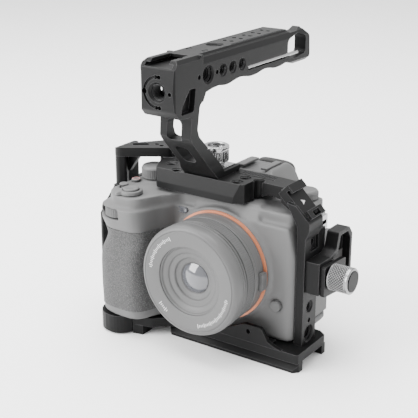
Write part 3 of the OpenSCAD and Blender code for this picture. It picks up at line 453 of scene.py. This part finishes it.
# fluted knob over the handle's foot, with one side cut flat for a small window
def thumbScrew():
    look = {"x": -15.0, "y": 8.0, "low": 112.6, "high": 122.6, "radius": 8.2, "flutes": 36, "depth": 0.42,
            "grip": (0.9, 7.0), "flat": 6.9, "flatHigh": 8.4, "tone": 0.46, "rough": 0.22}
    low, high, radius = look["low"], look["high"], look["radius"]
    gripLow, gripHigh = (low + rise for rise in look["grip"])
    # the knurl table below sets where the flute valleys get painted shade
    metal = turnedMetal("knobSteel", look["tone"], look["rough"],
                        knurl={"centre": (look["x"], look["y"], 0.0), "across": (1.0, 1.0, 0.0),
                               "along": (0.0, 0.0, 1.0), "band": (gripLow - 0.1, gripHigh + 0.1),
                               "valley": radius - 0.75, "crest": radius - 0.45})
    stem = [(0.0, 98.0), (2.5, 98.0), (3.05, 98.6), (3.05, 111.3), (4.9, 111.4), (4.9, low - 0.1), (7.4, low),
            (7.85, low + 0.35)]
    grip = [(radius - 0.25, z) for z in steps(gripLow, gripHigh, 0.4)]
    head = [(7.75, low + 7.3), (7.75, low + 7.6), (8.15, low + 7.9), (8.15, high - 0.6), (8.0, high - 0.15),
            (7.6, high), (5.8, high), (5.45, high - 0.25), (5.4, high - 2.3), (5.0, high - 2.5),
            (3.1, high - 2.5), (2.75, high - 2.8), (2.75, high - 6.0), (0.0, high - 6.2)]
    place = upAt(look["x"], look["y"])

    def flatSide(u, v, h):
        if h < low + look["flatHigh"]:
            u = min(u, look["flat"])
        return place(u, v, h)

    knob = Build().turned(stem + grip + head, flatSide, 352,
                          flutes(look["flutes"], look["depth"], gripLow, gripHigh))
    addPiece("thumb_screw_knob", knob.done("thumb_screw_knob"), metal, "handle_screw",
             ["thumb_screw"])
    frame = {"across": 1.2, "tall": 2.4, "wider": 1.35, "taller": 1.12, "z": low + 4.0}
    corners = ((-1, -1), (1, -1), (1, 1), (-1, 1))
    window = [(a * frame["across"], b * frame["tall"]) for a, b in corners]
    rim = [(a * frame["wider"], b * frame["taller"]) for a, b in window]
    face = look["x"] + look["flat"]
    rows = [[(face + out, look["y"] + a, frame["z"] + b) for a, b in outline]
            for out, outline in ((0.01, rim), (0.28, rim), (0.28, window), (-0.3, window))]
    mark = Build().rows(rows, caps=False)
    addPiece("thumb_screw_window", mark.done("thumb_screw_window"), steel, "handle_screw")


# knob of the cable clamp, knurled in crossed lines
def clampKnob():
    look = {"y": 5.0, "z": 57.0, "low": 69.2, "high": 83.2, "radius": 8.1, "knurls": 28, "depth": 0.7,
            "band": (1.0, 2.4), "tone": 0.27, "rough": 0.28}
    low, high, radius = look["low"], look["high"], look["radius"]
    bandLow, bandHigh = low + look["band"][0], high - look["band"][1]
    # the knurl table below sets where the crossed grooves get painted shade
    metal = turnedMetal("knurlAlu", look["tone"], look["rough"], (0.05, 1.0, 1.0),
                        {"centre": (0.0, look["y"], look["z"]), "across": (0.0, 1.0, 1.0),
                         "along": (1.0, 0.0, 0.0), "band": (bandLow, bandHigh),
                         "valley": radius - 0.65, "crest": radius - 0.1})
    stem = [(0.0, 58.0), (2.2, 58.0), (2.45, 58.4), (2.45, low), (7.2, low), (7.95, low + 0.6)]
    band = [(radius - 0.05, x) for x in steps(bandLow, bandHigh, 0.19)]
    head = [(7.96, high - 2.2), (7.96, high - 1.9), (radius, high - 1.7), (radius, high - 0.9),
            (7.6, high - 0.35), (6.6, high - 0.3), (6.42, high - 0.45), (6.42, high - 0.95),
            (0.0, high - 1.0)]
    knob = Build().turned(stem + band + head, rightAt(look["y"], look["z"]), 368,
                          diamonds(look["knurls"], look["depth"], bandLow, bandHigh))
    dress("clamp_knob", metal)
    addPiece("clamp_knob_knurled", knob.done("clamp_knob_knurled"), metal, "clamp_knob",
             ["clamp_knob"])


# turned lens rings with real grooves: sections are (radius, distance in front of the mount)
def lens():
    look = {"z": 53.5, "ribs": 150, "ribDepth": 0.28, "ribBand": (23.4, 30.6), "glassRadius": 9.2,
            "glassBack": 35.4, "glassRim": 36.2, "glassCurve": 15.0}
    place = forwardAt(0.0, look["z"])
    low, high = look["ribBand"]
    ribs = flutes(look["ribs"], look["ribDepth"], low, high)
    barrel = [(22.3, 4.2), (25.9, 4.2), (25.9, 12.7), (33.3, 12.7), (33.6, 13.0), (33.6, 15.4), (33.4, 15.7),
              (33.4, 19.6), (33.0, 20.1), (31.5, 20.1), (31.5, 42.3), (22.3, 42.3)]
    zoomBack = [(31.75, 20.5), (33.4, 20.5), (33.8, 20.9), (33.8, 22.1), (33.5, 22.4), (32.4, 22.5),
                (32.4, 23.2)]
    zoomBand = [(33.75, h) for h in steps(low, high, 0.6)]
    zoomFront = [(32.4, 30.8), (32.4, 31.5), (33.5, 31.6), (33.8, 31.9), (33.8, 32.6), (33.4, 33.0),
                 (31.75, 33.0)]
    front = [(31.75, 34.1), (33.9, 34.1), (34.35, 34.5), (34.35, 36.0), (34.0, 36.2), (34.0, 36.6),
             (34.38, 36.8), (34.38, 40.9), (34.1, 41.8), (33.5, 42.9), (32.5, 43.7), (31.6, 43.95),
             (31.35, 43.6), (31.1, 43.6), (30.9, 43.92), (22.4, 43.3), (21.6, 43.0), (21.3, 42.4),
             (24.4, 42.3), (24.7, 41.8), (24.7, 40.6), (31.75, 40.6)]
    bezel = [(0.0, 20.2), (21.9, 20.2), (21.9, 42.2), (21.0, 42.35), (20.6, 42.0), (20.2, 41.0), (17.2, 40.2),
             (16.9, 39.9), (16.7, 39.3), (13.6, 38.6), (13.3, 38.2), (13.0, 37.4), (10.3, 36.6), (9.9, 36.4),
             (9.6, 35.8), (0.0, 35.6)]
    radius, curve = look["glassRadius"], look["glassCurve"]
    sunk = look["glassRim"] - math.sqrt(curve ** 2 - radius ** 2)
    dome = [(radius * i / 12, sunk + math.sqrt(curve ** 2 - (radius * i / 12) ** 2)) for i in range(13)]
    element = [(0.0, look["glassBack"]), (radius, look["glassBack"])] + dome[::-1]
    for name, section, segments, ripple, ring, body, material, slot, stands in (
            ("lens_barrel_shell", barrel, 192, None, True, "root", lensGrey, "lens_shell", "lens_barrel"),
            ("zoom_ring_ribbed", zoomBack + zoomBand + zoomFront, 1200, ribs, True, "zoom_ring", lensGrey,
             "lens_shell", "zoom_ring"),
            ("front_ring_face", front, 192, None, True, "root", lensGrey, "lens_shell", "front_ring"),
            ("lens_bezel", bezel, 160, None, False, "root", lensGrey, "lens_shell", "inner_tube"),
            ("front_element", element, 96, None, False, "root", glass, "lens_glass", "front_glass")):
        made = Build().turned(section, place, segments, ripple, ring)
        addPiece(name, made.done(name), material, body, [stands])


# plain index strokes where a maker would print the range: runs of (first degree, count)
def lensStrokes():
    look = {"z": 53.5, "radius": 27.6, "runs": ((118.0, 22), (285.0, 26), (222.0, 6)), "gap": 2.6,
            "long": 2.6, "short": 1.5, "every": 4, "half": 0.22, "thick": 0.12, "proud": 0.03}
    faceInner, faceOuter = (22.4, 43.3), (30.9, 43.92)
    slope = (faceOuter[1] - faceInner[1]) / (faceOuter[0] - faceInner[0])
    corners = ((-1, 0.0), (1, 0.0), (1, -look["thick"]), (-1, -look["thick"]))
    place = forwardAt(0.0, look["z"])
    strokes = Build()
    for start, count in look["runs"]:
        for i in range(count):
            angle = math.radians(start + i * look["gap"])
            length = look["short"] if i % look["every"] else look["long"]
            rows = []
            for radius in (look["radius"] - length / 2, look["radius"] + length / 2):
                height = faceInner[1] + (radius - faceInner[0]) * slope + look["proud"]
                turn = look["half"] / radius
                rows.append([place(radius * math.cos(angle + side * turn),
                                   radius * math.sin(angle + side * turn), height + rise)
                             for side, rise in corners])
            strokes.rows(rows)
    addPiece("lens_strokes", strokes.done("lens_strokes"), pale, "root")


# one soft skin over the moulded parts
def softCopy(name, nodes, voxel, rounds, shape):
    mesh = bmesh.new()
    for node in nodes:
        mesh.from_mesh(cad[node].data)
    data = bpy.data.meshes.new(name)
    mesh.to_mesh(data)
    mesh.free()
    raw = bpy.data.objects.new(name + "Raw", data)
    bpy.context.scene.collection.objects.link(raw)
    remesh = raw.modifiers.new("skin", "REMESH")
    remesh.mode = "VOXEL"
    remesh.voxel_size = voxel * mm
    smooth = raw.modifiers.new("soft", "SMOOTH")
    smooth.factor = 0.5
    smooth.iterations = rounds
    graph = bpy.context.evaluated_depsgraph_get()
    skin = bpy.data.meshes.new_from_object(raw.evaluated_get(graph))
    bpy.data.objects.remove(raw)
    for vertex in skin.vertices:
        vertex.co = Vector(shape(*(vertex.co / mm))) * mm
    return skin


gripLook = {"hollowZ": 66, "hollowTall": 9, "fingers": 3.6, "toe": 0.8, "forward": 2.0, "palm": 3.4,
            "outward": 2.8}


# the hollow for the fingers under the front dial, and the waist on the palm side
def gripShape(x, y, z):
    hollow = math.exp(-((z - gripLook["hollowZ"]) / gripLook["hollowTall"]) ** 2)
    lower = 1 - smoothStep(z, 14, 34)
    onFront = (1 - smoothStep(x, -47, -37)) * (1 - smoothStep(y, -22, -12))
    y += onFront * (gripLook["fingers"] * hollow + gripLook["toe"] * lower - gripLook["forward"])
    onPalm = (1 - smoothStep(x, -74, -58)) * (1 - smoothStep(y, 4, 22)) * (1 - smoothStep(z, 80, 90))
    x += onPalm * (gripLook["palm"] * hollow - gripLook["outward"])
    return x, y, z


# the camera's shell, and the leather cut out of a copy of it by planes of (point, normal)
def cameraShell():
    look = {"voxel": 0.9, "rounds": 5, "shellSharp": 60.0, "lift": 0.42, "thick": 0.8, "leatherSharp": 50.0}
    cuts = {"front": ((0, 22, 0), (0, 1, 0)), "inner": ((-36, 0, 0), (1, 0, 0)),
            "top": ((0, 0, 73.5), (0, -0.06, 1)), "foot": ((0, 0, 19), (0, 0, -1))}
    covers = ["camera_body", "top_cover", "rear_cover"]
    skin = softCopy("camera_shell", covers, look["voxel"], look["rounds"], gripShape)
    grain = skin.copy()
    addPiece("camera_shell", skin, shell, "root", covers, look["shellSharp"])
    mesh = bmesh.new()
    mesh.from_mesh(grain)
    for point, normal in cuts.values():
        everything = list(mesh.verts) + list(mesh.edges) + list(mesh.faces)
        bmesh.ops.bisect_plane(mesh, geom=everything, plane_co=Vector(point) * mm, plane_no=normal,
                               clear_outer=True)
    mesh.normal_update()
    for vertex in mesh.verts:
        vertex.co += vertex.normal * look["lift"] * mm
    mesh.to_mesh(grain)
    mesh.free()
    raw = bpy.data.objects.new("leatherRaw", grain)
    bpy.context.scene.collection.objects.link(raw)
    solid = raw.modifiers.new("thickness", "SOLIDIFY")
    solid.thickness = look["thick"] * mm
    solid.offset = -1.0
    graph = bpy.context.evaluated_depsgraph_get()
    sheet = bpy.data.meshes.new_from_object(raw.evaluated_get(graph))
    bpy.data.objects.remove(raw)
    addPiece("grip_leather", sheet, leather, "root", ["grip_skin"], look["leatherSharp"])


# knurled dials on the top cover
def topDials():
    looks = {"mode_dial": {"place": (-60.5, 5.0), "low": 94.4, "high": 102.6, "radius": 8.4, "flutes": 44},
             "exposure_dial": {"place": (38.0, 27.0), "low": 93.2, "high": 98.8, "radius": 7.8, "flutes": 40}}
    for node, look in looks.items():
        low, high, radius = look["low"], look["high"], look["radius"]
        gripLow, gripHigh = low + 0.9, high - 1.5
        stem = [(0.0, low - 4.0), (2.4, low - 4.0), (2.4, low), (radius - 0.9, low),
                (radius - 0.4, low + 0.4)]
        grip = [(radius - 0.05, z) for z in steps(gripLow, gripHigh, 0.45)]
        head = [(radius - 0.35, high - 1.2), (radius - 0.5, high - 0.7), (radius - 1.0, high - 0.15),
                (radius - 1.5, high), (radius - 2.2, high), (radius - 2.35, high - 0.15), (0.0, high - 0.18)]
        made = Build().turned(stem + grip + head, upAt(*look["place"]), look["flutes"] * 8,
                              flutes(look["flutes"], 0.3, gripLow, gripHigh))
        name = node + "_knurled"
        addPiece(name, made.done(name), darkShell, node, [node])


# ribbed front dial, half sunk in the grip
def frontDial():
    look = {"place": (-62.0, -28.2), "low": 79.0, "high": 85.0, "radius": 9.6, "flutes": 40, "depth": 0.5}
    low, high, radius = look["low"], look["high"], look["radius"]
    section = ([(0.0, low), (radius - 1.0, low), (radius - 0.3, low + 0.3)] +
               [(radius, z) for z in steps(low + 0.5, high - 0.5, 0.5)] +
               [(radius - 0.3, high - 0.3), (radius - 1.0, high), (0.0, high)])
    wheel = Build().turned(section, upAt(*look["place"]), look["flutes"] * 8,
                           flutes(look["flutes"], look["depth"], low + 0.4, high - 0.4))
    addPiece("front_dial_ribbed", wheel.done("front_dial_ribbed"), darkShell, "front_dial",
             ["front_dial"])


# shutter: a dished cap inside the power ring, whose lever is drawn out of the ring
def shutterAndPower():
    look = {"x": -55.0, "y": -26.3, "tab": 235.0, "tabHalf": 15.0, "tabReach": 2.6, "ribs": 60,
            "ribDepth": 0.12}
    x, y, half = look["x"], look["y"], look["tabHalf"]
    capSection = [(0.0, 88.0), (2.3, 88.0), (2.3, 94.6), (4.6, 94.6), (5.0, 95.0), (5.0, 96.4), (4.7, 96.85),
                  (4.2, 97.0), (3.4, 96.85), (1.8, 96.6), (0.0, 96.5)]
    cap = Build().turned(capSection, upAt(x, y), 96)
    addPiece("shutter_cap", cap.done("shutter_cap"), darkShell, "shutter", ["shutter_button"])

    def lever(u, v, h):
        angle = (math.degrees(math.atan2(v, u)) - look["tab"] + 180) % 360 - 180
        push = look["tabReach"] * (1 - smoothStep(abs(angle), half * 0.45, half * 1.3))
        radius = math.hypot(u, v)
        grow = 1 + push * smoothStep(radius, 6.4, 7.1) / radius
        return x + u * grow, y + v * grow, h

    ringSection = [(5.35, 93.3), (7.0, 93.3), (7.2, 93.6), (7.2, 95.2), (6.9, 95.65), (6.3, 95.8),
                   (5.6, 95.8), (5.35, 95.6)]
    ring = Build().turned(ringSection, lever, 240, flutes(look["ribs"], look["ribDepth"], 93.6, 95.4), True)
    addPiece("power_lever_ring", ring.done("power_lever_ring"), darkShell, "power",
             ["power_ring"])


# record button with its red circle, and the custom button beside it
def smallButtons():
    recordPlace, customPlace = (-67.5, -5.5), (-68.0, -17.0)
    section = [(0.0, 88.0), (1.9, 88.0), (1.9, 93.7), (2.6, 93.7), (2.9, 94.0), (2.9, 94.5), (2.6, 94.85),
               (1.9, 94.9), (1.2, 94.75), (0.0, 94.7)]
    for body, place, slot in (("record", recordPlace, "record_red"), ("custom", customPlace, "control_grey")):
        button = Build().turned(section, upAt(*place), 64)
        addPiece(body + "_cap", button.done(body + "_cap"), darkShell, body, [body + "_button"])
    circle = Build().turned([(2.05, 94.86), (2.45, 94.86), (2.45, 94.97), (2.05, 94.97)],
                            upAt(*recordPlace), 64, loop=True)
    addPiece("record_circle", circle.done("record_circle"), red, "record")


# rubber eyecup: a soft moulded rim, its section in shares of its width and depth
def eyecup():
    look = {"x": 3.0, "z": 96.2, "outer": (14.4, 10.1), "inner": (9.8, 6.8), "low": 46.2, "high": 51.9,
            "squareness": 4.0, "segments": 120}
    section = [(0.0, 0.0), (0.25, 0.0), (0.75, 0.12), (0.97, 0.4), (0.98, 0.7), (0.85, 0.93), (0.6, 1.0),
               (0.3, 0.93), (0.08, 0.7), (0.0, 0.35)]
    power = look["squareness"]
    rows = []
    for across, along in section:
        width, height = (a + (b - a) * across for a, b in zip(look["inner"], look["outer"]))
        row = []
        for i in range(look["segments"]):
            angle = 2 * math.pi * i / look["segments"]
            c, s = math.cos(angle), math.sin(angle)
            reach = (abs(c) ** power + abs(s) ** power) ** (-1 / power)
            row.append((look["x"] + width * reach * c, look["low"] + (look["high"] - look["low"]) * along,
                        look["z"] + height * reach * s))
        rows.append(row)
    rim = Build().rows(rows, loop=True)
    addPiece("eyecup_rim", rim.done("eyecup_rim"), rubber, "root", ["eyecup"])


# oblong focus lamp window beside the grip; layers are (share of its size, how far it stands out)
def focusLamp():
    look = {"x": -28.2, "y": -10.0, "z": 83.2, "half": 2.4, "radius": 1.9, "segments": 48,
            "layers": ((1.0, -1.5), (1.0, 0.35), (0.93, 0.5), (0.8, 0.42), (0.7, 0.15))}
    outline = []
    for i in range(look["segments"]):
        angle = 2 * math.pi * i / look["segments"]
        outline.append((look["radius"] * math.cos(angle) + math.copysign(look["half"], math.cos(angle)),
                        look["radius"] * math.sin(angle)))
    rows = [[(look["x"] + share * u, look["y"] - out, look["z"] + share * v) for u, v in outline]
            for share, out in look["layers"]]
    addPiece("focus_lamp", Build().rows(rows).done("focus_lamp"), glass, "root")


# plain seating arrow in the shoulder shoe, which leans 45 degrees
def shoeArrow():
    look = {"x": 48.6, "y": 4.6, "z": 99.6, "sunk": -0.05, "proud": 0.06,
            "outline": ((-1.7, -1.5), (0.0, -0.6), (1.7, -1.5), (0.0, 2.3))}
    lean = math.sqrt(0.5)
    rows = [[(look["x"] + lean * (u + h), look["y"] + v, look["z"] + lean * (h - u))
             for u, v in look["outline"]] for h in (look["sunk"], look["proud"])]
    addPiece("shoe_arrow", Build().rows(rows).done("shoe_arrow"), pale, "root")


threadedHoles()
print("threads")
thumbScrew()
clampKnob()
print("knobs")
lens()
lensStrokes()
print("lens")
cameraShell()
print("camera")
topDials()
frontDial()
shutterAndPower()
smallButtons()
print("controls")
eyecup()
focusLamp()
shoeArrow()
print("small details")


# pale floor, white surroundings, soft boxes and the camera
def stageSet():
    view = {"floor": 6.0, "lens": 87.0, "sensor": 36.0, "place": (0.3177, -0.4839, 0.2969),
            "turn": (70.0, 0.0, 34.5)}
    light = {"world": 1.5, "aim": (0, 0, 0.09)}
    softBoxes = {"key": {"place": (-0.75, -0.95, 0.65), "size": 0.9, "power": 38.0},
                 "top": {"place": (-0.2, 0.1, 1.2), "size": 1.2, "power": 44.0},
                 "rim": {"place": (0.9, 0.5, 0.6), "size": 0.5, "power": 1.0}}
    bpy.ops.mesh.primitive_plane_add(size=view["floor"])
    floor = bpy.context.object
    floor.name = "floor"
    paper = Finish("paleFloor")
    fibre = paper.mix(paper.noise(0.05, 3.0), (0.93,) * 3, (0.95,) * 3)
    floor.data.materials.append(paper.set(colour=fibre, roughness=0.8, specular=0.2))
    world = bpy.data.worlds.new("studio")
    bpy.context.scene.world = world
    world.use_nodes = True
    sky = world.node_tree.nodes["Background"].inputs
    sky["Color"].default_value = (1.0, 1.0, 1.0, 1.0)
    sky["Strength"].default_value = light["world"]
    for name, box in softBoxes.items():
        data = bpy.data.lights.new(name, "AREA")
        data.shape = "SQUARE"
        data.size = box["size"]
        data.energy = box["power"]
        lamp = bpy.data.objects.new(name, data)
        bpy.context.scene.collection.objects.link(lamp)
        lamp.location = box["place"]
        aim = Vector(light["aim"]) - Vector(box["place"])
        lamp.rotation_euler = aim.to_track_quat("-Z", "Y").to_euler()
    optics = bpy.data.cameras.new("viewCamera")
    optics.lens = view["lens"]
    optics.sensor_width = view["sensor"]
    camera = bpy.data.objects.new("viewCamera", optics)
    bpy.context.scene.collection.objects.link(camera)
    camera.location = view["place"]
    camera.rotation_euler = [math.radians(a) for a in view["turn"]]
    bpy.context.scene.camera = camera


stageSet()
print("stage")
